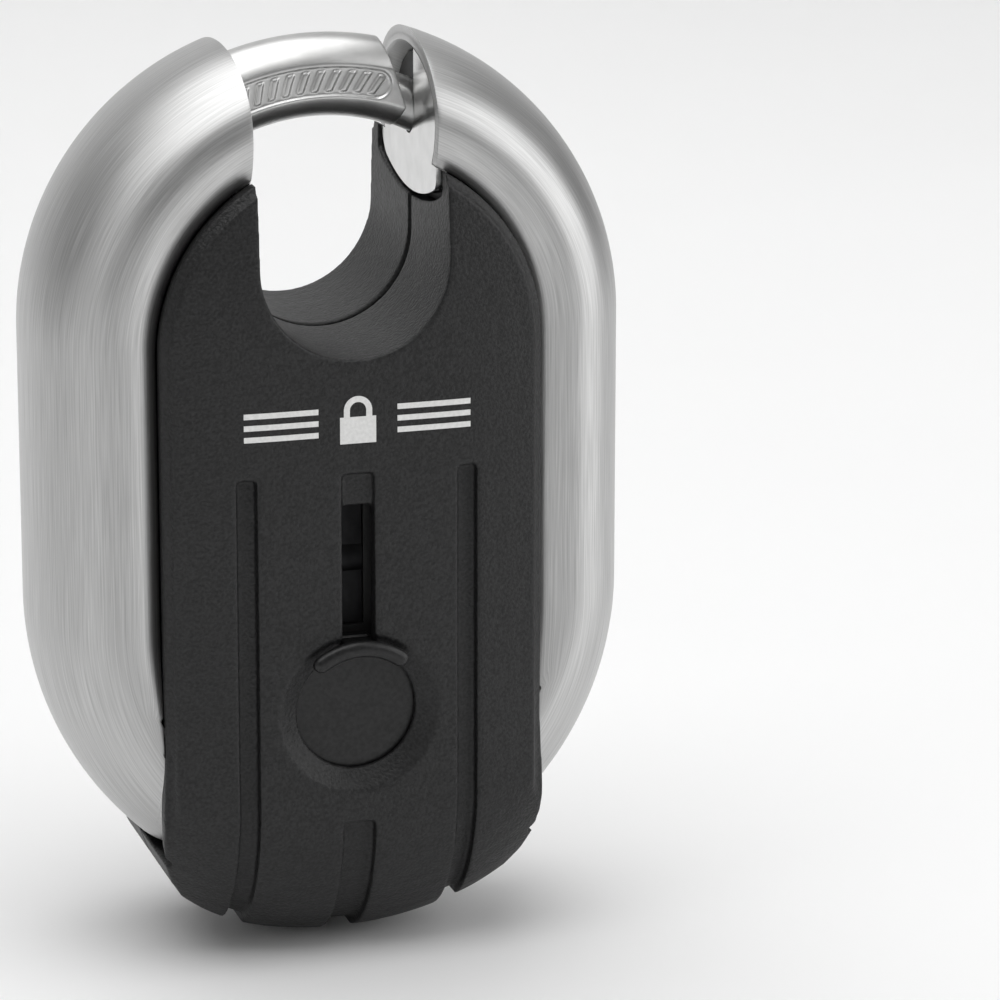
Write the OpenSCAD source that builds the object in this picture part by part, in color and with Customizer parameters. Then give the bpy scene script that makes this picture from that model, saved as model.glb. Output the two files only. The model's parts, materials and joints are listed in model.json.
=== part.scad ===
// Shrouded disc padlock. +X right, +Y to the back, +Z up, millimetres.
// The origin is the underside of the shackle's crown, where the lock hangs.

/* [Body] */
// Radius of the arched outline, half the overall width
arch_r = 34.8; // [34.5:0.1:35.5]
// Height of the straight sides below the arch centre
side_h = 31.5; // [30:0.5:33]
// Radius of the side shells where they draw in below the straight sides
tail_r = 38; // [37:0.5:39]
// Wall of the pressed side shells
shell_wall = 1.6; // [1.4:0.1:1.7]
// Half the thickness of the body over the covers
half_t = 17.5; // [17.3:0.1:17.8]
// Half the width of the plastic covers
cover_r = 22.2; // [22.1:0.05:22.25]
// Wall of the plastic covers
cover_wall = 2.2; // [2:0.1:2.3]
// Radius of the bottom edge
bottom_r = 29; // [28.5:0.5:29.5]

/* [Opening] */
// Half the width of the shackle opening
mouth_r = 11; // [10.8:0.1:11.1]
// Height of the opening's round centre above the arch centre
mouth_z = 10; // [9.5:0.5:10.5]

/* [Shackle] */
// Radius of the shackle bar
bar_r = 4.75; // [4.6:0.05:4.75]
// Radius of the bar's centre line
ring_r = 28.3; // [28.2:0.1:28.4]
// Angle of the shackle's tip from the right, when locked
tip_deg = 50; // [46:1:54]
// Angle of the shackle's tail end, when locked
tail_deg = 250; // [246:1:254]

/* [Lock] */
// Height of the key cylinder below the arch centre
plug_z = 42.6; // [42.6:0.1:42.6]
// Radius of the key plug
plug_r = 6.35; // [6.3:0.05:6.35]
// Teeth on the drive gear
gear_teeth = 20; // [20:20:20]
// Teeth that a full circle of the shackle sector would have
sector_teeth = 40; // [40:40:40]
// Number of pin chambers
pin_count = 5; // [4:1:5]
// Radius of the pins
pin_r = 1.3; // [1.25:0.05:1.35]

/* [Keyway cover] */
// Radius of the window in the front cover
window_r = 7; // [6.8:0.1:7.1]
// Radius of the dished ring round the window
dish_r = 9.4; // [9:0.1:9.6]
// Width of the slot that the slider's stem runs in
slot_w = 3.8; // [3.6:0.1:4]

/* [Hidden] */
$fn = 96;
gap = 0.1;                          // running clearance

centre_z = -(ring_r - bar_r);       // height of the arch centre
far = 60;                           // larger than any part

// Side shell section: a rounded belly that dips slightly towards the cover
belly_r = 26.5;                     // radius of the fullest line of the shell
belly_t = 14.7;                     // half thickness there
belly_n = 2;                        // squareness of the rounded edge, 2 is an ellipse
dip_r = 8;                          // radius of the dip inside that line
border_r = cover_r + gap;           // where the shell meets the cover

// Cover form
strip_x = 8.5;                      // half width of the flat middle strip
edge_x = 21.2;                      // where the cover's edge rounding starts
edge_drop = 1.0;                    // fall from the strip to that line
edge_round = 1.1;                   // depth of the edge rounding
nose_z = -30;                       // centre of the rounded bottom's sweep
nose_in = 25;                       // radius where the bottom starts to round
nose_rad = 18.4;                    // radial size of that rounding
nose_flat = 1.2;                    // half width of the flat keel
ledge_z = -60.3;                    // underside of the steel shells
corner_x = 19.6;                    // half width of the bottom edge's arc
bottom_z = -44;                     // centre of the bottom edge's arc
groove_x = 12.9;
groove_w = 2.3;
groove_top = -14.2;
groove_deep = 1.1;
low_slot_top = -55.8;

horn_left = -11;                    // where the left horn's cut meets its front
horn_right = 10.3;                  // where the right horn's cut meets its front
horn_skew = 2.1;                    // turn of both cuts, open towards the back
plate_t = 1.8;                      // thickness of the plates in the horns
plate_z = 14.5;                     // lowest point of the horn plates
plate_arc = 35;                     // radius of their lower edge
plate_front = 1.2;                  // radius of their front lower corner
plate_back = 5;                     // radius of their rear lower corner
plate_gap = 0.8;                    // gap from a plate to the opening's wall
rim_wall = cover_wall - 0.4;        // wall round the opening
seam = 0.9;                         // open seam between the two halves of that wall
core_r = mouth_r + rim_wall + 0.2;  // hollow for the opening in the housings

// Locking end and crown of the shackle
bar_end = 69;                       // angle of the bar's end, before its tip
tip_r = 2.9;                        // radius of the tip
tip_drop = 1.7;                     // how far the tip's line lies inside the bar's
slant_x = 7;                        // a point on the slanted end, and its slope
slant_z = 32.8;
slant_deg = 16.8;
flat_y = 4.33;                      // depth of the flat in front of the bar's middle
pad_h = 3.4;
pad_deep = 0.28;
pad_from = 74;

// Lock core, from front (negative Y) to back
core_t = 13.4;                      // half thickness of the two housings
core_bottom = -59.5;
cyl_r = 8.4;                        // outside of the cylinder body
cyl_front = -11.5;
cyl_back = 3.4;
bible_w = 6.4;                      // width of the pin chamber block
bible_z = 13.2;                     // its length below the plug's axis
gear_y = 4.4;                       // front face of the drive gear
gear_t = 2.4;
gear_m = 2 * plug_z / (gear_teeth + sector_teeth);
gear_r = gear_m * (gear_teeth / 2 + 0.9);   // tip radius of the drive gear
sector_from = 198;
sector_to = 278;
pin_pitch = 2.9;
pin_first = -9.85;                   // place of the first chamber along Y
index_x = 9;                        // distance of the index ball from the plug's axis
driver_len = 3.0;

// Housings and fixings, places as [x, z]; dowels as [y, z, outer end along X]
core_foot = 16.2;                   // half width of the housings' foot
flank_r = 31.8;                     // the flanks stop short of the bar's outside
screw_places = [[-18.4, -45], [18.4, -45], [-15.5, -4], [15.5, -4]];
stud_places = [[-17.5, -36], [17.5, -36], [-17, 6], [17, 6]];
dowel_places = [[0, -27, 33.9], [-9.5, 6, 30.8], [9.5, 6, 30.8]];
bush_from = 126;                    // bearing bush where the bar enters the left horn
bush_sweep = 10;
bush_r = 5.7;
rivet_angles = [208, 226, 243];
rivet_ring = ring_r - 2.4;
rivet_r = 0.8;

// ---- helpers ---------------------------------------------------------------

// Draws children with the arch centre as their origin
module at_centre() { translate([0, 0, centre_z]) children(); }

// Draws children with the plug's axis as their origin
module at_plug() { translate([0, 0, centre_z - plug_z]) children(); }

// A round bar along Y from y0 to y1
module rod_y(r, y0, y1) {
    translate([0, y1, 0]) rotate([90, 0, 0]) cylinder(r = r, h = y1 - y0);
}

// A flat XZ outline given thickness from y0 to y1
module slab_y(y0, y1) {
    translate([0, y1, 0]) rotate([90, 0, 0]) linear_extrude(y1 - y0) children();
}

// A (radius, Y) section turned about a Y axis; angles run from +X towards +Z
module turn_y(from, sweep) {
    rotate([90, 0, 0]) rotate([0, 0, from]) rotate_extrude(angle = sweep) children();
}

module block(x0, x1, y0, y1, z0, z1) {
    translate([x0, y0, z0]) cube([x1 - x0, y1 - y0, z1 - z0]);
}

function signed_pow(v, p) = sign(v) * pow(abs(v), p);

// ---- side shells -----------------------------------------------------------

// One side of the shell section at depth d below its surface, border to border
function shell_line(d, steps) =
    let (lean = asin((belly_r - border_r) / (dip_r - d)))
    concat(
        [for (i = [0:2]) let (a = lean * (1 - i / 3))
            [belly_r - (dip_r - d) * sin(a), -(belly_t - dip_r) - (dip_r - d) * cos(a)]],
        [for (i = [0:steps]) let (t = -90 + 180 * i / steps)
            [belly_r + (arch_r - belly_r - d) * signed_pow(cos(t), 2 / belly_n),
             (belly_t - d) * signed_pow(sin(t), 2 / belly_n)]],
        [for (i = [2:-1:0]) let (a = lean * (1 - i / 3))
            [belly_r - (dip_r - d) * sin(a), (belly_t - dip_r) + (dip_r - d) * cos(a)]]);

function reversed(v) = [for (i = [len(v) - 1:-1:0]) v[i]];

module shell_section() {
    polygon(concat(shell_line(0, 24), reversed(shell_line(shell_wall, 24))));
}

// Right-hand shell before its ends are cut, about the arch centre
module shell_sweep() {
    turn_y(0, 90) shell_section();
    translate([0, 0, -side_h]) linear_extrude(side_h) shell_section();
    translate([arch_r - tail_r, 0, -side_h])
        turn_y(-50, 50) translate([tail_r - arch_r, 0]) shell_section();
}

// Draws children with the cut through a horn as their plane x = 0
module at_horn(horn) {
    translate([horn, -belly_t, 0]) rotate([0, 0, -horn_skew]) translate([0, belly_t, 0])
        children();
}

// Right-hand shell, its horn cut off where its front is at x = horn
module side_shell(horn) {
    difference() {
        shell_sweep();
        at_horn(horn) block(-2 * far, 0, -far, far, 0, far);
        block(-far, far, -far, far, -2 * far, ledge_z + gap);
        slab_y(-far, far) cover_outline(-gap);
        shell_dowels(0.01, 0.05);
    }
}

// ---- covers ----------------------------------------------------------------

// Outline of a cover, drawn in by i
module cover_outline(i) {
    circle(r = cover_r - i);
    half = [[cover_r, 0], [cover_r, -46], [22.4, -50], [22.6, -54], [22.5, -57.5],
            [22.0, -60.5], [21.0, -63.1], [corner_x, -65.2]];
    polygon(concat([for (p = half) [p[0] - i, p[1]]],
                   [for (p = reversed(half)) [-p[0] + i, p[1]]]));
    intersection() {
        translate([0, bottom_z]) circle(r = bottom_r - i);
        translate([-corner_x + i, bottom_z - far]) square([2 * (corner_x - i), far - 10]);
    }
}

// Section of a cover at depth d below the face: crown, then the rounded edge
function cover_line(d) =
    let (edge = edge_x - d * 0.6)
    concat(
        [[strip_x - 0.3, half_t - d + 0.02]],
        [for (i = [1:4]) let (k = i / 4)
            [strip_x + (edge - strip_x) * k, half_t - d - edge_drop * k * k]],
        [for (a = [30:30:90])
            [edge + (cover_r + 0.3 - edge_x) * (1 - cos(a)),
             half_t - d - edge_drop - edge_round * sin(a)]]);

// What is cut away outside the cover's crown: round the arch and down the sides
module crown_cut(d) {
    line = cover_line(d);
    last = line[len(line) - 1];
    section = concat([[strip_x - 0.3, far]], line, [[far, last[1]], [far, far]]);
    turn_y(0, 180) polygon(section);
    translate([0, 0, -80]) linear_extrude(80) for (m = [0, 1]) mirror([m, 0])
        mirror([0, 1]) polygon(section);
}

// What is cut away outside the rounded bottom
module nose_cut(d) {
    curve = concat(
        [[nose_in - 1, half_t - d + 0.05]],
        [for (t = [84:-7:0]) [nose_in + (nose_rad - d) * cos(t),
                              nose_flat + (half_t - nose_flat - d) * sin(t)]]);
    translate([0, 0, nose_z]) turn_y(180, 180)
        polygon(concat([[nose_in - 1, far]], curve, [[far + 20, nose_flat], [far + 20, far]]));
}

// Front cover form at depth d below its surface, back to the plane y = back
module cover_form(d, back) {
    difference() {
        slab_y(-half_t + d, back) cover_outline(d);
        crown_cut(d);
        nose_cut(d);
    }
}

// Outline of the opening with its edge moved out by g
module mouth_outline(g) {
    translate([0, mouth_z]) circle(r = mouth_r + g);
    translate([-mouth_r - g, mouth_z]) square([2 * (mouth_r + g), far]);
}

// Front half of the cover form: outer shape, hollow, opening, grooves
module cover_blank() {
    difference() {
        cover_form(0, -gap);
        // room for the housings behind the face, down to the bumper
        slab_y(-core_t - gap, 1) translate([-far, ledge_z]) square([2 * far, 2 * far]);
        cover_form(cover_wall, 1);
        slab_y(-far, far) mouth_outline(0);
        // side grooves and the lower centre slot wrap round the bottom
        difference() {
            union() {
                for (s = [-1, 1])
                    block(s * groove_x - groove_w / 2, s * groove_x + groove_w / 2,
                          -far, 1, -80, groove_top);
                block(-slot_w / 2, slot_w / 2, -far, 1, -80, low_slot_top);
            }
            cover_form(groove_deep, 2);
        }
    }
    mouth_wall();
}

// Wall round the opening, from the face to the parting plane, cleared for the plates
module mouth_wall() {
    difference() {
        mouth_wall_blank();
        for (h = [[0, horn_right], [1, -horn_left]]) mirror([h[0], 0, 0]) for (m = [0, 1])
            mirror([0, m, 0]) plate_blank(h[1] - 1, far, plate_gap);
    }
}

module mouth_wall_blank() {
    slab_y(-half_t + 1.5, -seam / 2) difference() {
        intersection() {
            mouth_outline(rim_wall);
            circle(r = edge_x - 0.2);
        }
        mouth_outline(0);
    }
}

module front_cover() color("#2f2f31") at_centre() difference() {
    cover_blank();
    // dish and window over the keyway
    translate([0, 0, -plug_z]) {
        rod_y(window_r, -far, -half_t + 3.5);
        translate([0, -half_t + 1.5, 0]) rotate([90, 0, 0])
            cylinder(r1 = window_r + 0.25, r2 = dish_r + (dish_r - window_r) / 15, h = 1.6);
    }
    // stem slot: shallow at its top, through the wall below
    block(-slot_w / 2, slot_w / 2, -far, -half_t + 0.9, -plug_z + 7, groove_top);
    block(-slot_w / 2, slot_w / 2, -far, -half_t + 3.5, -plug_z + 5, groove_top - 3.9);
}

module rear_cover() color("#2f2f31") at_centre() mirror([0, 1, 0]) cover_blank();

module left_shell() color("#c4c6c8") at_centre() mirror([1, 0, 0]) side_shell(-horn_left);
module right_shell() color("#c4c6c8") at_centre() side_shell(horn_right);

// ---- housings --------------------------------------------------------------

// Outline of the housings between the covers
module core_outline() {
    difference() {
        union() {
            circle(r = cover_r - 0.5);
            translate([-cover_r + 0.5, -50]) square([2 * cover_r - 1, 50]);
            translate([-core_foot, core_bottom]) square([2 * core_foot, 20]);
        }
        mouth_outline(core_r - mouth_r);
    }
}

// Part of the housings that fills the side shells
module core_flanks() {
    line = [for (p = shell_line(shell_wall + 0.25, 16)) [min(p[0], flank_r), p[1]]];
    section = concat([[cover_r - 4, line[0][1]]], line, [[cover_r - 4, -line[0][1]]]);
    difference() {
        union() {
            turn_y(0, 180) polygon(section);
            for (m = [0, 1]) mirror([m, 0, 0])
                translate([0, 0, -side_h]) linear_extrude(side_h) polygon(section);
        }
        block(-core_r - 0.2, core_r + 0.2, -far, far, 0, far);
    }
}

// Both housings as one solid with every hollow that they share
module core_solid() {
    difference() {
        union() {
            slab_y(-core_t, core_t) core_outline();
            core_flanks();
        }
        // the foot is thinner, to clear the rounded bottom
        for (m = [0, 1]) mirror([0, m, 0]) block(-far, far, 12.2, far, -far, -50);
        // channel for the shackle, and the pocket for its bush
        turn_y(0, 360) translate([ring_r, 0]) circle(r = bar_r + gap);
        turn_y(bush_from - 0.2, bush_sweep + 0.4) translate([ring_r, 0]) circle(r = bush_r + 0.05);
        // hollow for the sector behind the bar, and for the drive gear
        turn_y(186, 166) translate([22.6, -gear_y - gear_t - 0.4]) square([8, gear_t + 1]);
        translate([0, 0, -plug_z]) {
            rod_y(gear_r + 0.8, gear_y - 0.3, gear_y + gear_t + 0.3);
            rod_y(5.4, gear_y, gear_y + gear_t + 1.8);
        }
        // seat for the cylinder body
        translate([0, 0, -plug_z]) {
            rod_y(cyl_r + gap / 2, -far, cyl_back + gap);
            block(-bible_w / 2 - gap / 2, bible_w / 2 + gap / 2, -far, cyl_back + gap,
                  -bible_z - 1.2, 0);
            rod_y(plug_r + 0.6, 0, gear_y);
        }
        // screw holes
        for (p = screw_places) translate([p[0], 0, p[1]]) {
            rod_y(1.26, -10.05, far);
            rod_y(2.6, 11.3, far);
        }
        shell_dowels(0.01, 5);
        // room for the horn plates
        for (h = [[0, horn_right], [1, -horn_left]]) mirror([h[0], 0, 0]) at_horn(h[1])
            block(-3, plate_t + gap, -far, far, plate_z - plate_gap, far);
        // stud holes for the covers
        for (m = [0, 1]) mirror([0, m, 0]) for (p = stud_places)
            translate([p[0], 0, p[1]]) rod_y(1.5, -far, -core_t + 3);
    }
}

// Dowels along X that hold the shells, larger by g in radius and longer by g2
module shell_dowels(g, longer) {
    for (m = [0, 1]) mirror([m, 0, 0]) for (p = dowel_places)
        translate([24.1, p[0], p[1]]) rotate([0, 90, 0])
            cylinder(r = 0.99 + g, h = p[2] - 24.1 + longer);
}

module front_housing() color("#3c3d3f") at_centre() difference() {
    intersection() {
        core_solid();
        block(-far, far, -far, -0.02, -far, far);
    }
    // pocket for the slider's leaf spring
    block(-1.6, 1.6, -core_t - 1, -core_t + 0.8, -33.2, -17.4);
}

module rear_housing() color("#3c3d3f") at_centre() difference() {
    intersection() {
        core_solid();
        block(-far, far, 0, far, -far, far);
    }
    // pocket for the index ball and its spring, behind the gear
    translate([index_x, 0, -plug_z]) rod_y(1.5, gear_y + gear_t, 11.6);
}

// ---- plates in the horns ---------------------------------------------------

// Plate that closes a horn, with a way for the bar that follows its ring
module horn_plate(horn, ring, way_r, slot_r) {
    line = shell_line(shell_wall + 0.12, 16);
    foot = [[border_r - 9, -belly_t], [border_r - 0.15, -belly_t],
            [border_r - 0.15, line[0][1]]];
    difference() {
        intersection() {
            turn_y(0, 90) polygon(concat(foot, line,
                                         [for (p = reversed(foot)) [p[0], -p[1]]]));
            plate_blank(horn, plate_t, 0);
        }
        turn_y(30, 50) translate([ring, 0]) circle(r = way_r);
        // above the bar the plate keeps only its front part
        block(0, 2 * horn, -slot_r, far, sqrt(ring * ring - horn * horn), far);
    }
}

// Plate outline with its edge moved out by g, as a slab of thickness t
module plate_blank(horn, t, g) {
    at_horn(horn) translate([t, 0, 0]) rotate([0, -90, 0]) linear_extrude(t)
        plate_outline(g);
}

// Horn plate seen along X, as (Z, Y): a wide arc between two rounded corners
module plate_outline(g) {
    half = belly_t - 1.4 + g;
    low = plate_z - g;
    intersection() {
        translate([low + plate_arc + g, 0]) circle(r = plate_arc + g);
        union() {
            for (c = [[-1, plate_front, 2.3], [1, plate_back, 1]]) {
                r = c[1] + g;
                translate([low + c[2] + r, c[0] * (half - r)]) circle(r = r);
                translate([low + c[2] + r, c[0] * half / 2 - half / 2]) square([far, half]);
                translate([low - 1, c[0] * (half - r) / 2 - (half - r) / 2]) square([far, half - r]);
            }
        }
    }
}

module receiver_plate() color("#d6d6d6") at_centre()
    horn_plate(horn_right, ring_r - tip_drop, tip_r + 0.2, 2.7);
module guide_plate() color("#d6d6d6") at_centre()
    mirror([1, 0, 0]) horn_plate(-horn_left, ring_r, bar_r + 0.3, bar_r - 0.4);

// ---- fixings ---------------------------------------------------------------

module shell_pins() color("#9a9a9a") at_centre() shell_dowels(0, 0);

module housing_screws() color("#77797c") at_centre()
    for (p = screw_places) translate([p[0], 0, p[1]]) difference() {
        union() {
            rod_y(1.25, -10, 11.4);
            rod_y(2.4, 11.35, 13.2);
        }
        translate([0, 12.2, 0]) rotate([-90, 30, 0]) cylinder(r = 1.15, h = 2, $fn = 6);
    }

module cover_studs() color("#2a2a2c") at_centre()
    for (m = [0, 1]) mirror([0, m, 0]) for (p = stud_places)
        translate([p[0], 0, p[1]]) rod_y(1.48, -core_t - 0.9, -core_t + 2.9);

// ---- key cylinder ----------------------------------------------------------

// Hardened disc in front of the cylinder, with the keyway through it
module drill_guard() color("#a9a9ac") at_plug() difference() {
    rod_y(cyl_r, -13.2, cyl_front - 0.05);
    rod_y(plug_r + 0.06, -far, far);
}

module key_slot(y0, y1) {
    block(-1.1, 1.1, y0, y1, -4.2, 4.2);
    block(-1.7, -0.5, y0, y1, -1.2, 0.4);
}

module plug() color("#c9a44c") at_plug() difference() {
    union() {
        rod_y(plug_r, -13.0, cyl_back + 0.2);
        rod_y(3.9, cyl_back, gear_y + gear_t + 0.2);
    }
    key_slot(-20, 1.0);
    for (i = [0:pin_count - 1]) translate([0, pin_first + i * pin_pitch, -far])
        cylinder(r = pin_r + 0.05, h = far);
    // groove for the retaining clip and the thread for the gear's screw
    difference() {
        rod_y(far, 3.65, 4.15);
        rod_y(3.2, 3, 5);
    }
    rod_y(1.25, 1.4, far);
    // flats that turn the gear
    for (s = [-1, 1]) translate([s * (3.0 + 5), 0, 0]) block(-5, 5, gear_y - 0.2, 9, -5, 5);
}

module cylinder_body() color("#b8923e") at_plug() difference() {
    union() {
        rod_y(cyl_r, cyl_front, cyl_back);
        block(-bible_w / 2, bible_w / 2, cyl_front, cyl_back, -bible_z, 0);
    }
    rod_y(plug_r + 0.04, -far, far);
    for (i = [0:pin_count - 1]) translate([0, pin_first + i * pin_pitch, -far])
        cylinder(r = pin_r + 0.05, h = far);
}

module chamber_cap() color("#b8923e") at_plug()
    block(-bible_w / 2, bible_w / 2, cyl_front, cyl_back, -bible_z - 0.9, -bible_z - 0.02);

module driver_pins() color("#d9c07a") at_plug()
    for (i = [0:pin_count - 1]) translate([0, pin_first + i * pin_pitch, 0])
        difference() {
            translate([0, 0, -plug_r - 0.1 - driver_len]) cylinder(r = pin_r, h = driver_len - 0.05);
            rod_x(plug_r + 0.05);
        }

// Cutter that rounds a pin's end to the shear line
module rod_x(r) { rod_y(r, -2, 2); }

// Bitting steps: each key pin has its own length
module key_pins() color("#d9c07a") at_plug()
    for (i = [0:pin_count - 1]) {
        len = 2.2 + 0.35 * ((i * 3) % 4);
        translate([0, pin_first + i * pin_pitch, 0]) intersection() {
            translate([0, 0, -plug_r - 1]) cylinder(r = pin_r, h = len + 1);
            rod_y(plug_r - 0.05, -2, 2);
        }
    }

// One closed coil spring as rings joined by a thin spine
module coil(r, wire, height, turns) {
    pitch = (height - 2 * wire) / turns;
    for (i = [0:turns]) translate([0, 0, wire + i * pitch])
        rotate_extrude() translate([r, 0]) circle(r = wire, $fn = 24);
    translate([r, 0, wire]) cylinder(r = wire * 0.9, h = height - 2 * wire);
}

module pin_springs() color("#b0b0b0") at_plug() {
    top = -plug_r - 0.12 - driver_len;
    for (i = [0:pin_count - 1]) translate([0, pin_first + i * pin_pitch, -bible_z + 0.02])
        coil(pin_r - 0.2, 0.16, bible_z + top - 0.04, 5);
}

module keyway_seal() color("#1c1c1c") at_plug() difference() {
    rod_y(cyl_r, -14.0 + 0.2, -13.25);
    rod_y(plug_r + 0.3, -far, far);
}

module plug_clip() color("#9fa2a6") at_plug() difference() {
    rod_y(5.6, 3.7, 4.1);
    rod_y(3.24, -far, far);
    block(-2.2, 2.2, 0, far, 0, far);
}

// ---- gear and sector -------------------------------------------------------

// Point where the involute of base circle b has unwound by angle t
function involute(b, t) = [b * (cos(t) + t * PI / 180 * sin(t)),
                           b * (sin(t) - t * PI / 180 * cos(t))];
function unwind(b, r) = sqrt(max(0, r * r / (b * b) - 1)) * 180 / PI;
function polar_of(p) = [norm(p), atan2(p[1], p[0])];

// Half of one tooth's flank: [radius, angle from the tooth's middle]
function flank(teeth, m, play) =
    let (pr = teeth * m / 2, b = pr * cos(20),
         root = pr - 1.15 * m, tip = pr + 0.9 * m,
         half = 90 / teeth - play / pr * 180 / PI / 2,
         skew = polar_of(involute(b, unwind(b, pr)))[1])
    concat([[root, half + skew]],
           [for (k = [0:4]) let (r = max(root, b) + (tip - max(root, b)) * k / 4,
                                 q = polar_of(involute(b, unwind(b, r))))
               [r, half + skew - q[1]]]);

function tooth(teeth, m, mid, play) =
    let (f = flank(teeth, m, play))
    concat([for (q = f) q[0] * [cos(mid - q[1]), sin(mid - q[1])]],
           [for (q = reversed(f)) q[0] * [cos(mid + q[1]), sin(mid + q[1])]]);

module drive_gear() color("#a7abb0") at_plug() difference() {
    slab_y(gear_y, gear_y + gear_t) polygon(
        [for (i = [0:gear_teeth - 1])
            for (p = tooth(gear_teeth, gear_m, 90 + 360 * i / gear_teeth, 0.16)) p]);
    // D-bore on the plug's two flats
    intersection() {
        rod_y(3.95, -far, far);
        block(-3.04, 3.04, -far, far, -far, far);
    }
    // dimples for the index ball at both ends of the turn
    for (a = [0, -126]) rotate([0, a, 0]) translate([index_x, gear_y + gear_t + 0.9, 0])
        sphere(r = 1.4);
}

module gear_screw() color("#77797c") at_plug() difference() {
    union() {
        rod_y(1.24, 2, gear_y + gear_t + 0.4);
        rod_y(4.8, gear_y + gear_t + 0.22, gear_y + gear_t + 1.4);
    }
    translate([0, gear_y + gear_t + 0.8, 0]) block(-0.5, 0.5, 0, 5, -4, 4);
}

module shackle_sector() color("#a7abb0") at_centre() difference() {
    pitch = 360 / sector_teeth;
    count = floor((sector_to - sector_from) / pitch);
    shift = 270 + pitch / 2 - pitch * floor((270 + pitch / 2 - sector_from) / pitch);
    slab_y(gear_y, gear_y + gear_t) polygon(concat(
        [for (i = [0:count])
            for (p = tooth(sector_teeth, gear_m, shift + pitch * i, 0.16)) p],
        [for (i = [0:12]) let (a = sector_to + (sector_from - sector_to) * i / 12)
            24.2 * [cos(a), sin(a)]]));
    for (a = rivet_angles) translate([rivet_ring * cos(a), 0, rivet_ring * sin(a)])
        rod_y(rivet_r + 0.02, 0, far);
}

module sector_rivets() color("#8a8d91") at_centre()
    for (a = rivet_angles) translate([rivet_ring * cos(a), 0, rivet_ring * sin(a)])
        rod_y(rivet_r, 1.5, gear_y + gear_t);

// ---- shackle ---------------------------------------------------------------

module shackle() color("#bfc1c4") at_centre() difference() {
    union() {
        // bar, its locking end cut on a slant that faces the receiver plate
        difference() {
            turn_y(bar_end, tail_deg - bar_end) translate([ring_r, 0]) circle(r = bar_r);
            translate([slant_x, 0, slant_z]) rotate([0, -slant_deg, 0])
                block(0, far, -far, far, -far, far);
        }
        turn_y(tip_deg, 80 - tip_deg) translate([ring_r - tip_drop, 0]) circle(r = tip_r);
    }
    // flat down the front of the crown, with a shallow pad sunk in it
    turn_y(bar_end - 1, 44) translate([ring_r - 3, flat_y]) square([6, 2]);
    turn_y(pad_from, 36) translate([ring_r - 0.1 - pad_h / 2, flat_y - pad_deep]) square([pad_h, 2]);
    // flat at the back of the tail, where the sector is riveted on
    turn_y(196, 60) translate([ring_r - 6, -6]) square([12, 6 - gear_y + 0.05]);
    for (a = rivet_angles) translate([rivet_ring * cos(a), 0, rivet_ring * sin(a)])
        rod_y(rivet_r + 0.02, 1.4, far);
}

// Bearing bush where the bar enters the left horn, open to the outside
module shackle_bush() color("#1e1e1f") at_centre() intersection() {
    turn_y(bush_from, bush_sweep) translate([ring_r, 0]) difference() {
        circle(r = bush_r);
        circle(r = bar_r + 0.06);
    }
    rod_y(flank_r - 0.3, -far, far);
}

// ---- index ball, slider ----------------------------------------------------

module index_ball() color("#c9cbce") at_plug()
    translate([index_x, gear_y + gear_t + 1.45, 0]) sphere(r = 1.4);

module index_spring() color("#b0b0b0") at_plug()
    translate([index_x, gear_y + gear_t + 2.87, 0]) rotate([-90, 0, 0]) coil(1.1, 0.16, 1.9, 3);

module keyway_slider() color("#343436") at_plug() {
    plate_y = -half_t + cover_wall + 0.12;
    rod_y(8.3, plate_y, plate_y + 1.2);
    block(-slot_w / 2 + 0.15, slot_w / 2 - 0.15, plate_y, plate_y + 1.2, 0, 8.7);
    block(-slot_w / 2 + 0.15, slot_w / 2 - 0.15, -half_t - 1.4, plate_y + 0.5, 7.05, 8.4);
    // thumb ridge
    turn_y(47, 86) translate([6.9, half_t + 0.12]) square([2, 1.4]);
}

// Leaf spring under the slider, with a humped middle that it rides over
module slider_spring() color("#4b4c4e") at_centre() {
    block(-1.5, 1.5, -core_t + 0.45, -core_t + 0.75, -33, -17.6);
    intersection() {
        translate([0, -core_t + 2.2, -25.3]) rotate([0, 90, 0])
            translate([0, 0, -1.5]) cylinder(r = 2.35, h = 3);
        block(-2, 2, -core_t - 1, -core_t + 0.6, -30, -20);
    }
}

front_cover();
rear_cover();
left_shell();
right_shell();
front_housing();
rear_housing();
receiver_plate();
guide_plate();
shell_pins();
housing_screws();
cover_studs();
drill_guard();
cylinder_body();
chamber_cap();
pin_springs();
driver_pins();
key_pins();
plug();
keyway_seal();
plug_clip();
drive_gear();
gear_screw();
shackle();
shackle_sector();
sector_rivets();
shackle_bush();
index_ball();
index_spring();
keyway_slider();
slider_spring();
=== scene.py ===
import json
import math

import bmesh
import bpy
from mathutils import Matrix, Vector


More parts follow.
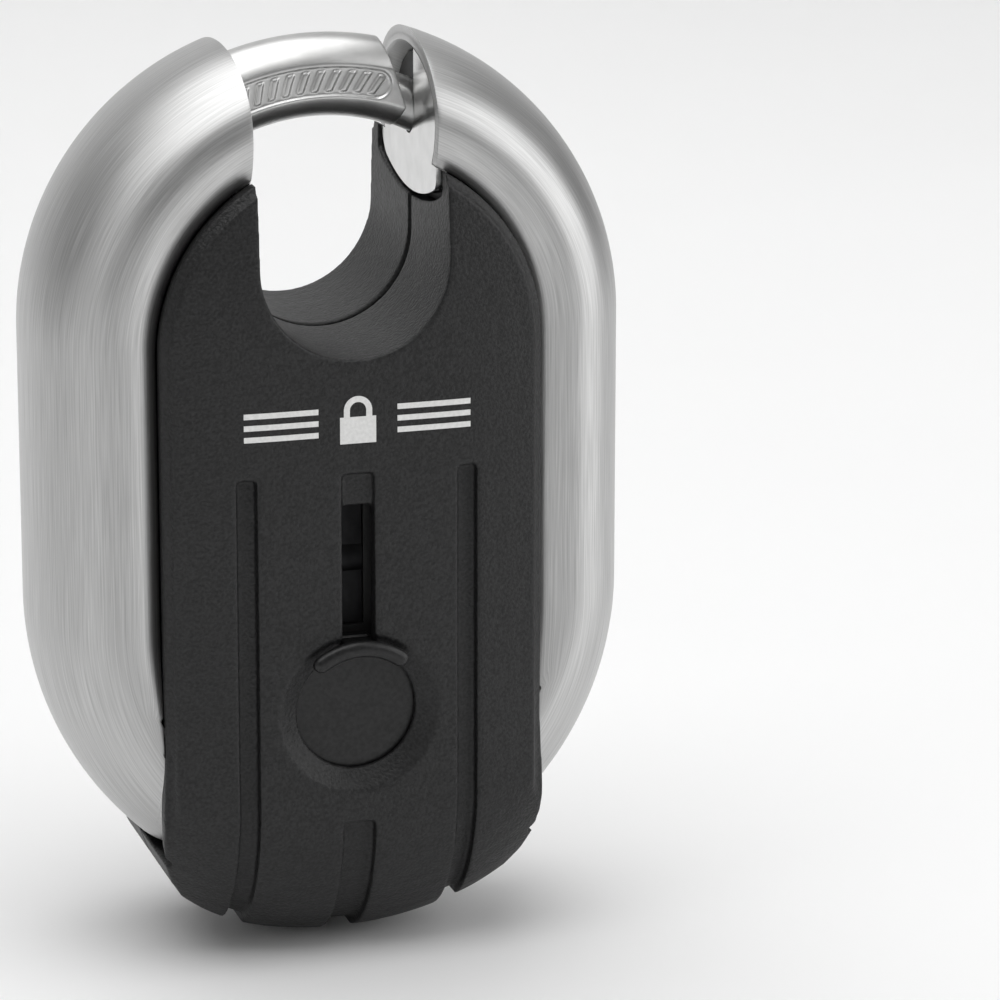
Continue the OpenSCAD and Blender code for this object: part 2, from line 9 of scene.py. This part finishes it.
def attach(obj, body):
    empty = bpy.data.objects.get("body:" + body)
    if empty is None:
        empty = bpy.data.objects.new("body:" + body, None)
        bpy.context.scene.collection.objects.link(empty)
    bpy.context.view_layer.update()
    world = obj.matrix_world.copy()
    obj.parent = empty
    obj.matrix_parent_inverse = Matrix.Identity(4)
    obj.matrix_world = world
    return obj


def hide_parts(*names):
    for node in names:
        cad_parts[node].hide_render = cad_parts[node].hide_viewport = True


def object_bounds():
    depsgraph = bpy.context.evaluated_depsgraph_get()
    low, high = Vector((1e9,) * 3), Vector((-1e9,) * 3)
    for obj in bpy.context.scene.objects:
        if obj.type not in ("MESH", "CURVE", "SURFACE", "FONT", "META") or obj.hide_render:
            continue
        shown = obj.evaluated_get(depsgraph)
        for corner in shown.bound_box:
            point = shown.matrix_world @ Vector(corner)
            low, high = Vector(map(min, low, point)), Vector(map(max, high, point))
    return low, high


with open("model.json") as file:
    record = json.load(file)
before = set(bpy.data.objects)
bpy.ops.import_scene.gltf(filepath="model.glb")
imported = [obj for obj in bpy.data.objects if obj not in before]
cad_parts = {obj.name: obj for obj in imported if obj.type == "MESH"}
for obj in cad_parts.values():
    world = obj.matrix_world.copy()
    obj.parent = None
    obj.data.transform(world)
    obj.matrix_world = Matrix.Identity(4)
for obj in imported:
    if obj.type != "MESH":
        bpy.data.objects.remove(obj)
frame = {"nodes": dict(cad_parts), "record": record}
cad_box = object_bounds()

MM = 0.001
JOINTS = {j["name"]: j for j in frame["record"]["behaviour"]["joints"]}
CENTRE = Vector(JOINTS["shackle_turn"]["pos_m"])    # arch centre, on the middle plane
PLUG = Vector(JOINTS["plug_turn"]["pos_m"])         # on the key plug's axis

# Sizes in millimetres about the arch centre, as the CAD part has them
GAP = 0.1
ARCH_R = 34.8
SIDE_H = 31.5
TAIL_R = 38.0
SHELL_WALL = 1.6
COVER_R = 22.2
HALF_T = 17.5
BELLY_R = 26.5
BELLY_T = 14.7
BELLY_N = 2.0
DIP_R = 8.0
LEDGE_Z = -60.1                 # lower end of the shells, just above the CAD part's
# Height and half width down the covers' sides and lower corners
COVER_EDGE = ((-46.0, 22.2), (-50.0, 22.4), (-54.0, 22.6), (-57.5, 22.5), (-60.5, 22.0))
HORN_LEFT = 11.0
HORN_RIGHT = 10.3
HORN_SLOPE = math.tan(math.radians(2.1))
STRIP_X = 8.5
EDGE_X = 21.2
EDGE_DROP = 1.0
RING_R = 28.3
BAR_R = 4.75
BAR_END = 69.0                  # angles round the arch centre, in degrees
TAIL_DEG = 250.0
TIP_DEG = 50.0
TIP_R = 2.9
TIP_RING = RING_R - 1.7
SLANT_X, SLANT_Z, SLANT_DEG = 7.0, 32.8, 16.8
FLAT_Y = 4.33


# ---- geometry helpers --------------------------------------------------------

def place(x, y, z):
    """A point in millimetres about the arch centre, in the frame's metres."""
    return Vector((x * MM, y * MM, z * MM)) + CENTRE


def new_piece(name, mesh, body, slot):
    """Links a mesh as a piece with its slot's material, riding on a body."""
    piece = bpy.data.objects.new(name, mesh)
    bpy.context.scene.collection.objects.link(piece)
    mesh.materials.clear()
    mesh.materials.append(MATERIALS[slot])
    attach(piece, body)
    return piece


def smooth_shade(mesh):
    mesh.polygons.foreach_set("use_smooth", [True] * len(mesh.polygons))


def bake_modifiers(piece):
    """Replaces the piece's mesh by what its modifiers make of it."""
    graph = bpy.context.evaluated_depsgraph_get()
    mesh = bpy.data.meshes.new_from_object(piece.evaluated_get(graph))
    piece.modifiers.clear()
    piece.data = mesh


def bevel_edges(piece, width, angle):
    bevel = piece.modifiers.new("bevel", "BEVEL")
    bevel.width = width * MM
    bevel.segments = 3
    bevel.limit_method = "ANGLE"
    bevel.angle_limit = math.radians(angle)


def soften(name, mesh, voxel, rounds, keep, body, slot, node):
    """A piece from a closed mesh with every edge slightly rounded, in place of a CAD node."""
    piece = new_piece(name, mesh, body, slot)
    remesh = piece.modifiers.new("remesh", "REMESH")
    remesh.mode = "VOXEL"
    remesh.voxel_size = voxel * MM
    smooth = piece.modifiers.new("smooth", "SMOOTH")
    smooth.factor = 0.5
    smooth.iterations = rounds
    thin = piece.modifiers.new("thin", "DECIMATE")
    thin.ratio = keep
    bake_modifiers(piece)
    smooth_shade(piece.data)
    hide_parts(node)


def add_faces(bm, verts, faces):
    made = [bm.verts.new(v) for v in verts]
    for face in faces:
        bm.faces.new([made[i] for i in face])


def cad_mesh(node):
    return frame["nodes"][node].data.copy()


# ---- materials ---------------------------------------------------------------

class Nodes:
    """Short calls for building one material's node tree."""

    def __init__(self, name):
        self.material = bpy.data.materials.new(name)
        self.material.use_nodes = True
        self.tree = self.material.node_tree
        self.shader = self.tree.nodes["Principled BSDF"]

    def add(self, kind, **inputs):
        node = self.tree.nodes.new(kind)
        for key, value in inputs.items():
            node.inputs[key].default_value = value
        return node

    def link(self, a, b):
        self.tree.links.new(a, b)

    def set(self, **values):
        for key, value in values.items():
            self.shader.inputs[key.replace("_", " ")].default_value = value

    def stretched(self, coords, scale, detail=2.0):
        """Noise on coordinates stretched by a scale for each axis."""
        mapping = self.add("ShaderNodeMapping")
        mapping.inputs["Scale"].default_value = scale
        self.link(coords, mapping.inputs["Vector"])
        noise = self.add("ShaderNodeTexNoise", Scale=1.0, Detail=detail)
        self.link(mapping.outputs["Vector"], noise.inputs["Vector"])
        return noise.outputs["Fac"]

    def ramp(self, value, low, high):
        """Maps 0..1 of a value to low..high."""
        node = self.add("ShaderNodeMapRange")
        node.inputs["To Min"].default_value = low
        node.inputs["To Max"].default_value = high
        self.link(value, node.inputs["Value"])
        return node.outputs["Result"]

    def tint(self, value, dark, light, low=0.3, high=0.7):
        """A colour ramp between two greys or colours."""
        node = self.add("ShaderNodeValToRGB")
        node.color_ramp.elements[0].position = low
        node.color_ramp.elements[1].position = high
        node.color_ramp.elements[0].color = (*dark, 1.0)
        node.color_ramp.elements[1].color = (*light, 1.0)
        self.link(value, node.inputs["Fac"])
        self.link(node.outputs["Color"], self.shader.inputs["Base Color"])

    def roughness(self, value, low, high):
        self.link(self.ramp(value, low, high), self.shader.inputs["Roughness"])

    def bump(self, value, height, strength=1.0, under=None):
        """Bump of a height in millimetres; under is an earlier bump's normal."""
        node = self.add("ShaderNodeBump", Strength=strength, Distance=height * MM)
        self.link(value, node.inputs["Height"])
        if under is not None:
            self.link(under, node.inputs["Normal"])
        self.link(node.outputs["Normal"], self.shader.inputs["Normal"])
        return node.outputs["Normal"]

    def object_coords(self):
        return self.add("ShaderNodeTexCoord").outputs["Object"]

    def uv_coords(self):
        return self.add("ShaderNodeTexCoord").outputs["UV"]


def brushed_steel():
    """Stainless steel brushed along U; the UV map is in millimetres."""
    n = Nodes("brushed_steel")
    uv = n.uv_coords()
    lines = n.stretched(uv, (0.09, 5.5, 1.0), detail=4.0)
    fine = n.stretched(uv, (0.25, 14.0, 1.0), detail=2.0)
    broad = n.stretched(n.object_coords(), (60.0, 60.0, 25.0))
    n.tint(lines, (0.42, 0.42, 0.418), (0.60, 0.60, 0.597))
    mix = n.add("ShaderNodeMath")
    mix.operation = "ADD"
    n.link(n.ramp(lines, 0.0, 0.7), mix.inputs[0])
    n.link(n.ramp(broad, 0.0, 0.3), mix.inputs[1])
    n.roughness(mix.outputs[0], 0.34, 0.50)
    n.set(Metallic=1.0, Anisotropic=0.6)
    tangent = n.add("ShaderNodeTangent")
    tangent.direction_type = "UV_MAP"
    tangent.uv_map = "brush"
    n.link(tangent.outputs["Tangent"], n.shader.inputs["Tangent"])
    under = n.bump(lines, 0.012, strength=0.6)
    n.bump(fine, 0.006, strength=0.5, under=under)
    return n.material


def grained_plastic(name, colour, rough, grain, height):
    """Moulded black plastic; grain is its size in millimetres."""
    n = Nodes(name)
    coords = n.object_coords()
    scale = 1.0 / (grain * MM)
    pits = n.stretched(coords, (scale,) * 3, detail=2.0)
    soft = n.stretched(coords, (scale * 0.35,) * 3, detail=1.0)
    broad = n.stretched(coords, (70.0,) * 3, detail=3.0)
    mottle = n.add("ShaderNodeMath")
    mottle.operation = "MULTIPLY"
    n.link(pits, mottle.inputs[0])
    n.link(n.ramp(broad, 0.85, 1.15), mottle.inputs[1])
    n.tint(mottle.outputs[0], tuple(c * 0.35 for c in colour), tuple(c * 1.9 for c in colour),
           low=0.32, high=0.68)
    n.roughness(soft, rough - 0.05, rough + 0.07)
    under = n.bump(soft, height * 0.6, strength=0.5)
    n.bump(pits, height, strength=0.8, under=under)
    n.set(Specular_IOR_Level=0.4)
    return n.material


def polished_metal(name, dark, light, rough):
    """Bare metal with faint clouds and fine upright marks."""
    n = Nodes(name)
    coords = n.object_coords()
    clouds = n.stretched(coords, (400.0,) * 3, detail=4.0)
    marks = n.stretched(coords, (1500.0, 1500.0, 300.0), detail=3.0)
    n.tint(clouds, dark, light)
    n.roughness(marks, rough * 0.8, rough * 1.3)
    n.bump(marks, 0.004, strength=0.4)
    n.set(Metallic=1.0)
    return n.material


def drawn_bar():
    """Hardened bar with a fine satin surface."""
    n = Nodes("shackle_steel")
    lines = n.stretched(n.object_coords(), (900.0, 2600.0, 2600.0), detail=3.0)
    clouds = n.stretched(n.object_coords(), (180.0,) * 3, detail=4.0)
    n.tint(clouds, (0.50, 0.50, 0.495), (0.64, 0.64, 0.635))
    n.roughness(lines, 0.30, 0.42)
    n.bump(lines, 0.006, strength=0.4)
    n.set(Metallic=1.0)
    return n.material


def matt_surface(name, scale, detail, dark, light, rough, height):
    """Dull surface with one fine grain; rough is its lowest and highest roughness."""
    n = Nodes(name)
    grain = n.stretched(n.object_coords(), (scale,) * 3, detail=detail)
    n.tint(grain, dark, light)
    n.roughness(grain, *rough)
    n.bump(grain, height, strength=0.5)
    return n.material


BLACK = (0.0085, 0.0085, 0.0088)
MATERIALS = {
    "black_plastic": grained_plastic("black_plastic", BLACK, 0.46, 0.36, 0.14),
    "slider_plastic": grained_plastic("slider_plastic", (0.006, 0.006, 0.0062), 0.36, 0.5, 0.012),
    "print_white": matt_surface("print_white", 2500.0, 2.0, (0.70, 0.70, 0.69),
                                (0.80, 0.80, 0.79), (0.45, 0.6), 0.01),
    "brushed_steel": brushed_steel(),
    "polished_steel": polished_metal("polished_steel", (0.58, 0.58, 0.575), (0.68, 0.68, 0.675), 0.17),
    "shackle_steel": drawn_bar(),
    "gear_steel": polished_metal("gear_steel", (0.40, 0.40, 0.40), (0.52, 0.52, 0.52), 0.34),
    "spring_steel": polished_metal("spring_steel", (0.46, 0.46, 0.47), (0.60, 0.60, 0.61), 0.25),
    "dark_steel": polished_metal("dark_steel", (0.018, 0.018, 0.019), (0.032, 0.032, 0.033), 0.5),
    "housing_alloy": matt_surface("housing_alloy", 1800.0, 3.0, (0.010,) * 3,
                                  (0.018,) * 3, (0.45, 0.62), 0.03),
    "brass": polished_metal("brass", (0.62, 0.44, 0.18), (0.76, 0.56, 0.26), 0.28),
    "seal_rubber": matt_surface("seal_rubber", 2200.0, 2.0, (0.016,) * 3,
                                (0.024,) * 3, (0.6, 0.75), 0.015),
}
SLOT_OF = {s["node"]: s["material_slot"] for s in frame["record"]["subparts"]}


# ---- carried-over CAD nodes --------------------------------------------------

def dress_cad_nodes():
    for name, node in frame["nodes"].items():
        material = MATERIALS[SLOT_OF[name]]
        if not node.data.materials:
            node.data.materials.append(material)
        for slot in node.material_slots:
            slot.material = material


# ---- side shells -------------------------------------------------------------

def half_thickness(rho, d):
    """Half thickness of the shell section at a radius, at depth d below its face."""
    if rho >= BELLY_R:
        k = min(1.0, (rho - BELLY_R) / (ARCH_R - BELLY_R - d))
        return (BELLY_T - d) * (1 - k ** BELLY_N) ** (1 / BELLY_N)
    k = (BELLY_R - rho) / (DIP_R - d)
    return BELLY_T - DIP_R + (DIP_R - d) * math.sqrt(1 - k * k)


def cover_side(z):
    """Half width of the covers at a height on their sides and lower corners."""
    for (z0, x0), (z1, x1) in zip(COVER_EDGE, COVER_EDGE[1:]):
        if z >= z1:
            break
    k = min(1.0, max(0.0, (z0 - z) / (z0 - z1)))
    return GAP + x0 + (x1 - x0) * k


def section_radii(rho_min, d):
    """Radii and signed half thicknesses from the front border to the rear one."""
    dip_steps = 10
    belly_steps = 40
    points = []
    for i in range(dip_steps):
        rho = rho_min + (BELLY_R - rho_min) * i / dip_steps
        points.append((rho, -half_thickness(rho, d)))
    for i in range(belly_steps + 1):
        t = -math.pi / 2 + math.pi * i / belly_steps
        power = 2 / BELLY_N
        rho = BELLY_R + (ARCH_R - BELLY_R - d) * abs(math.cos(t)) ** power
        y = (BELLY_T - d) * math.copysign(abs(math.sin(t)) ** power, t)
        points.append((rho, y))
    for i in reversed(range(dip_steps)):
        rho = rho_min + (BELLY_R - rho_min) * i / dip_steps
        points.append((rho, half_thickness(rho, d)))
    return points


def shell_point(part, k, rho, y, horn):
    """A point of the right-hand shell: part 0 arch, 1 straight side, 2 tail."""
    if part == 0:
        angle = math.acos((horn + (y + BELLY_T) * HORN_SLOPE) / rho) * (1 - k)
        return Vector((rho * math.cos(angle), y, rho * math.sin(angle)))
    if part == 1:
        return Vector((rho, y, -SIDE_H * k))
    shift = TAIL_R - ARCH_R
    reach = rho + shift
    drop = -LEDGE_Z - GAP - SIDE_H
    tip = 0.6                   # rounding of the shell's lower tip
    x_end = math.sqrt(max(1.0, reach * reach - drop * drop)) - shift
    inside = max(0.0, tip - max(0.0, x_end - cover_side(LEDGE_Z)))
    drop -= tip - math.sqrt(max(0.0, tip * tip - inside * inside))
    angle = -math.asin(min(1.0, drop / reach)) * k
    return Vector((reach * math.cos(angle) - shift, y, -SIDE_H + reach * math.sin(angle)))


def border_radius(part, k, horn):
    """Inner radius of the shell where it meets the cover, for one row."""
    rho = COVER_R + GAP
    if part == 2:
        for _ in range(8):
            point = shell_point(part, k, rho, 0.0, horn)
            rho += cover_side(point.z) - point.x
    return rho


ARCH_ROWS, SIDE_ROWS, TAIL_ROWS = 70, 24, 40
STRAIGHT_ROW = ARCH_ROWS + 20   # a row on the straight side


def shell_rows(horn, d):
    """Rows of section points from the horn down to the tip, at depth d."""
    rows = []
    for part, steps in enumerate((ARCH_ROWS, SIDE_ROWS, TAIL_ROWS)):
        for i in range(steps + (part == 2)):
            k = i / steps
            radii = section_radii(border_radius(part, k, horn), d)
            rows.append([shell_point(part, k, rho, y, horn) for rho, y in radii])
    return rows


def side_shell(name, node, horn, side):
    """Pressed steel shell with its true wall; side is 1 for right, -1 for left."""
    outer = shell_rows(horn, 0.0)
    inner = shell_rows(horn, SHELL_WALL)
    rows, columns = len(outer), len(outer[0])
    mesh = bpy.data.meshes.new(name)
    verts = [place(p.x * side, p.y, p.z) for grid in (outer, inner) for row in grid for p in row]

    def index(layer, row, column):
        return layer * rows * columns + row * columns + column

    faces = []
    for layer in (0, 1):
        for r in range(rows - 1):
            for c in range(columns - 1):
                quad = [index(layer, r, c), index(layer, r, c + 1),
                        index(layer, r + 1, c + 1), index(layer, r + 1, c)]
                faces.append(quad if layer else quad[::-1])
    for r in (0, rows - 1):
        for c in range(columns - 1):
            quad = [index(0, r, c), index(0, r, c + 1), index(1, r, c + 1), index(1, r, c)]
            faces.append(quad if r == 0 else quad[::-1])
    for c in (0, columns - 1):
        for r in range(rows - 1):
            quad = [index(0, r, c), index(0, r + 1, c), index(1, r + 1, c), index(1, r, c)]
            faces.append(quad[::-1] if c == 0 else quad)
    if side < 0:
        faces = [face[::-1] for face in faces]
    mesh.from_pydata(verts, [], faces)
    mesh.validate()
    # UV in millimetres: U along the shell, V across it
    along = [0.0]
    middle = columns // 2
    for r in range(1, rows):
        along.append(along[-1] + (outer[r][middle] - outer[r - 1][middle]).length)
    across = [0.0]
    for c in range(1, columns):
        across.append(across[-1] +
                      (outer[STRAIGHT_ROW][c] - outer[STRAIGHT_ROW][c - 1]).length)
    uv = mesh.uv_layers.new(name="brush")
    for loop in mesh.loops:
        v = loop.vertex_index % (rows * columns)
        uv.data[loop.index].uv = (along[v // columns], across[v % columns])
    piece = new_piece(name, mesh, "lock_body", "brushed_steel")
    bevel_edges(piece, 0.3, 50)
    bake_modifiers(piece)
    smooth_shade(piece.data)
    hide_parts(node)


# ---- shackle -----------------------------------------------------------------

CROWN_TO = 111                  # angle where the flat on the crown ends
PAD_FROM = 74.0
PAD_HALF = 1.72
PAD_DEEP = 0.3
PAD_DROP = 0.08                 # how far the pad's middle lies inside the bar's
RIM = 0.45                      # plain rim round the ribs
RIB_EVERY = 1.75
RIB_H = 0.24
SECTOR_FROM, SECTOR_TO = 196, 256
SECTOR_Y = 4.35                 # flat at the back for the toothed sector


def flat_depth(angle, r):
    """How far forward the bar's front reaches: a flat with a sunk, ribbed pad."""
    if not BAR_END - 1 < angle < CROWN_TO:
        return BAR_R
    along = math.radians(angle - PAD_FROM) * RING_R
    across = r - RING_R + PAD_DROP
    distance = math.hypot(min(0.0, along - PAD_HALF), across)
    sunk = min(1.0, max(0.0, (PAD_HALF - distance) / 0.2))
    inset = min(1.0, max(0.0, (PAD_HALF - RIM - distance) / 0.25))
    wave = math.cos((along + across * 0.45) * 2 * math.pi / RIB_EVERY)
    rib = min(1.0, max(0.0, wave * 2.2 + 0.1))
    return FLAT_Y - PAD_DEEP * sunk + RIB_H * inset * rib


def sweep(angles, ring, ring_r, radius_at, clip):
    """Closed tube round the arch centre as vertices and faces."""
    verts, faces = [], []
    for angle in angles:
        a = math.radians(angle)
        for i in range(ring):
            p = 2 * math.pi * i / ring
            radius = radius_at(angle)
            r = ring_r + radius * math.cos(p)
            y = clip(angle, r, -radius * math.sin(p))
            verts.append(place(r * math.cos(a), y, r * math.sin(a)))
    for s in range(len(angles) - 1):
        for i in range(ring):
            j = (i + 1) % ring
            faces.append([s * ring + i, (s + 1) * ring + i, (s + 1) * ring + j, s * ring + j])
    faces.append(list(range(ring)))
    last = (len(angles) - 1) * ring
    faces.append([last + i for i in reversed(range(ring))])
    return verts, faces


def shackle_bar():
    """The bent bar with its slanted end and tip, dense in steps where the pad is."""
    angles = []
    angle = BAR_END
    while angle < TAIL_DEG:
        angles.append(angle)
        angle += 0.22 if angle < CROWN_TO + 1 else 1.0
    angles.append(TAIL_DEG)

    def clip(angle, r, y):
        y = max(y, -flat_depth(angle, r))
        return min(y, SECTOR_Y) if SECTOR_FROM < angle < SECTOR_TO else y

    def tip_radius(angle):
        k = min(1.0, (angle - TIP_DEG) / 2.4)
        return TIP_R - 1.1 * (1 - math.sqrt(1 - (1 - k) ** 2))

    bm = bmesh.new()
    add_faces(bm, *sweep(angles, 160, RING_R, lambda angle: BAR_R, clip))
    slope = math.radians(SLANT_DEG)
    normal = Vector((math.cos(slope), 0, math.sin(slope)))
    cut = bmesh.ops.bisect_plane(bm, geom=bm.verts[:] + bm.edges[:] + bm.faces[:],
                                 plane_co=place(SLANT_X, 0, SLANT_Z), plane_no=normal,
                                 clear_outer=True)
    edges = [e for e in cut["geom_cut"] if isinstance(e, bmesh.types.BMEdge)]
    bmesh.ops.holes_fill(bm, edges=edges)
    tip_angles = [TIP_DEG + 28 * i / 56 for i in range(57)]
    add_faces(bm, *sweep(tip_angles, 64, TIP_RING, tip_radius, lambda angle, r, y: y))
    bmesh.ops.recalc_face_normals(bm, faces=bm.faces[:])
    mesh = bpy.data.meshes.new("shackle_bar")
    bm.to_mesh(mesh)
    bm.free()
    soften("shackle_bar", mesh, 0.11, 3, 0.45, "shackle", "shackle_steel", "shackle")


# ---- keyway slider -----------------------------------------------------------

SLIDER_FACE = -15.18
SLIDER_BACK = -13.98
SLIDER_R = 8.3
STEM_HALF = 1.75
STEM_FRONT = -18.6
RIDGE_R = 7.9
RIDGE_SPAN = 43.0


def at_plug(x, y, z):
    return Vector((x * MM, y * MM, z * MM)) + PLUG


def add_solid(bm, outline, y0, y1):
    """Adds an XZ outline about the plug's axis, made solid from y0 to y1."""
    front = [bm.verts.new(at_plug(x, y0, z)) for x, z in outline]
    back = [bm.verts.new(at_plug(x, y1, z)) for x, z in outline]
    bm.faces.new(front)
    bm.faces.new(back[::-1])
    for i in range(len(outline)):
        j = (i + 1) % len(outline)
        bm.faces.new([front[i], back[i], back[j], front[j]])


def add_bead(bm):
    """Thumb ridge: a rounded bead along an arc, with rounded ends."""
    ring, steps = 28, 60
    half_w, half_h, mid_y = 0.98, 0.84, -18.16
    end = math.degrees(half_w / RIDGE_R)
    loops = []
    for s in range(steps + 1):
        angle = 90 + RIDGE_SPAN * math.cos(math.pi * s / steps)
        near = (RIDGE_SPAN - abs(angle - 90)) / end
        k = math.sqrt(max(0.01, 1 - max(0.0, 1 - near) ** 2))
        a = math.radians(angle)
        loop = []
        for i in range(ring):
            p = 2 * math.pi * i / ring
            r = RIDGE_R + half_w * k * math.cos(p)
            y = mid_y + half_h * k * math.sin(p)
            loop.append(bm.verts.new(at_plug(r * math.cos(a), y, r * math.sin(a))))
        loops.append(loop)
    for one, two in zip(loops, loops[1:]):
        for i in range(ring):
            j = (i + 1) % ring
            bm.faces.new([one[i], two[i], two[j], one[j]])
    bm.faces.new(loops[0])
    bm.faces.new(loops[-1][::-1])


def keyway_slider():
    """Round keyway cover with its tongue, the stem through the slot and the ridge."""
    bm = bmesh.new()
    circle = [(SLIDER_R * math.cos(math.radians(a)), SLIDER_R * math.sin(math.radians(a)))
              for a in range(0, 360, 3)]
    add_solid(bm, circle, SLIDER_FACE, SLIDER_BACK)
    tongue = [(-STEM_HALF, 0), (STEM_HALF, 0), (STEM_HALF, 8.7), (-STEM_HALF, 8.7)]
    add_solid(bm, tongue, SLIDER_FACE, SLIDER_BACK)
    stem = [(-STEM_HALF, 7.05), (STEM_HALF, 7.05), (STEM_HALF, 8.4), (-STEM_HALF, 8.4)]
    add_solid(bm, stem, STEM_FRONT, SLIDER_FACE + 0.3)
    add_bead(bm)
    bmesh.ops.recalc_face_normals(bm, faces=bm.faces[:])
    mesh = bpy.data.meshes.new("keyway_slider_moulded")
    bm.to_mesh(mesh)
    bm.free()
    soften("keyway_slider_moulded", mesh, 0.11, 5, 0.4, "keyway_slider", "slider_plastic",
           "keyway_slider")


# ---- printed pictogram -------------------------------------------------------

def crown_y(x):
    """Front face of the cover at a distance from its middle line."""
    k = max(0.0, (abs(x) - STRIP_X) / (EDGE_X - STRIP_X))
    return -(HALF_T - EDGE_DROP * k * k)


def printed_mark():
    """A plain padlock pictogram between two sets of bars, as thin ink on the crown."""
    centre_z = -8.0
    lift = 0.03
    verts, faces = [], []

    def patch(outline_rows):
        """Adds a strip: rows of points, each row the same length."""
        start = len(verts)
        width = len(outline_rows[0])
        for row in outline_rows:
            for x, z in row:
                verts.append(place(x, crown_y(x) - lift, centre_z + z))
        for r in range(len(outline_rows) - 1):
            for c in range(width - 1):
                a = start + r * width + c
                faces.append([a, a + 1, a + width + 1, a + width])

    def bar(x0, x1, z0, z1):
        steps = max(2, int((x1 - x0) / 0.6))
        xs = [x0 + (x1 - x0) * i / steps for i in range(steps + 1)]
        patch([[(x, z0) for x in xs], [(x, z1) for x in xs]])

    def arc(r0, r1, a0, a1, cz):
        steps = 24
        angles = [math.radians(a0 + (a1 - a0) * i / steps) for i in range(steps + 1)]
        patch([[(r * math.cos(a), cz + r * math.sin(a)) for a in angles] for r in (r0, r1)])

    for side in (-1, 1):
        for level in (1.35, 0.0, -1.35):
            x0, x1 = sorted((side * 4.6, side * 13.2))
            bar(x0, x1, level - 0.32, level + 0.32)
    bar(-2.1, 2.1, -2.6, 0.5)
    bar(-1.65, -0.95, 0.5, 1.25)
    bar(0.95, 1.65, 0.5, 1.25)
    arc(0.95, 1.65, 0, 180, 1.25)
    mesh = bpy.data.meshes.new("printed_mark")
    mesh.from_pydata(verts, [], faces)
    piece = new_piece("printed_mark", mesh, "lock_body", "print_white")
    solid = piece.modifiers.new("ink", "SOLIDIFY")
    solid.thickness = 0.05 * MM
    solid.offset = 0
    bake_modifiers(piece)


# ---- stage -------------------------------------------------------------------

def plain_material(name, colour, rough):
    n = Nodes(name)
    grain = n.stretched(n.object_coords(), (8.0,) * 3, detail=3.0)
    n.tint(grain, tuple(c * 0.985 for c in colour), colour)
    n.set(Roughness=rough)
    return n.material


def build_stage():
    """A pale floor that sweeps up into a backdrop."""
    floor_z = cad_box[0].z - 0.0005
    width, front, back, height, bend = 3.0, -2.0, 1.2, 2.5, 0.5
    profile = [(front, 0.0), (back - bend, 0.0)]
    profile += [(back - bend + bend * math.sin(math.radians(a)),
                 bend - bend * math.cos(math.radians(a))) for a in range(6, 91, 6)]
    profile.append((back, height))
    verts = [(x, y, floor_z + z) for y, z in profile for x in (-width, width)]
    faces = [[2 * i, 2 * i + 1, 2 * i + 3, 2 * i + 2] for i in range(len(profile) - 1)]
    mesh = bpy.data.meshes.new("floor")
    mesh.from_pydata(verts, [], faces)
    smooth_shade(mesh)
    floor = bpy.data.objects.new("floor", mesh)
    bpy.context.scene.collection.objects.link(floor)
    mesh.materials.append(plain_material("floor_paint", (0.86, 0.86, 0.86), 0.7))


def soft_light(name, place_m, aim, size, power):
    data = bpy.data.lights.new(name, "AREA")
    data.shape = "RECTANGLE"
    data.size, data.size_y = size
    data.energy = power
    light = bpy.data.objects.new(name, data)
    light.location = place_m
    light.rotation_euler = (Vector(aim) - Vector(place_m)).to_track_quat("-Z", "Y").to_euler()
    bpy.context.scene.collection.objects.link(light)


def build_lights():
    middle = CENTRE + Vector((0, 0, -0.02))
    soft_light("fill_left", (-0.95, -0.30, 0.15), middle, (1.0, 1.0), 0.8)
    soft_light("key_right", (0.90, -0.45, 0.25), middle, (1.1, 1.4), 8.0)
    soft_light("top", (-0.15, 0.05, 0.95), middle, (1.5, 1.1), 12.0)
    world = bpy.data.worlds.new("studio")
    world.use_nodes = True
    background = world.node_tree.nodes["Background"]
    background.inputs["Color"].default_value = (0.95, 0.95, 0.95, 1.0)
    background.inputs["Strength"].default_value = 0.24
    bpy.context.scene.world = world
    bpy.context.scene.view_settings.view_transform = "Standard"


def build_camera():
    """Camera left of and above the front, as a long lens sees a product."""
    azimuth, elevation = math.radians(16.37), math.radians(16.24)
    right = Vector((math.cos(azimuth), -math.sin(azimuth), 0))
    forward = Vector((math.sin(azimuth) * math.cos(elevation),
                      math.cos(azimuth) * math.cos(elevation), -math.sin(elevation)))
    up = right.cross(forward)
    data = bpy.data.cameras.new("camera")
    data.sensor_width = 36.0
    data.lens = 190.35
    data.shift_x = 0.0232
    data.shift_y = 0.0291
    data.clip_start = 0.01
    camera = bpy.data.objects.new("camera", data)
    eye = CENTRE + Vector((-149.03, -572.23, 146.59)) * MM
    rotation = Matrix((right, up, -forward)).transposed().to_4x4()
    camera.matrix_world = Matrix.Translation(eye) @ rotation
    bpy.context.scene.collection.objects.link(camera)
    bpy.context.scene.camera = camera


build_camera()
build_stage()
build_lights()
dress_cad_nodes()
side_shell("left_shell_steel", "left_shell", HORN_LEFT, -1)
side_shell("right_shell_steel", "right_shell", HORN_RIGHT, 1)
for half in ("front_cover", "rear_cover"):
    soften(half + "_moulded", cad_mesh(half), 0.22, 9, 0.3, "lock_body", "black_plastic", half)
keyway_slider()
shackle_bar()
printed_mark()
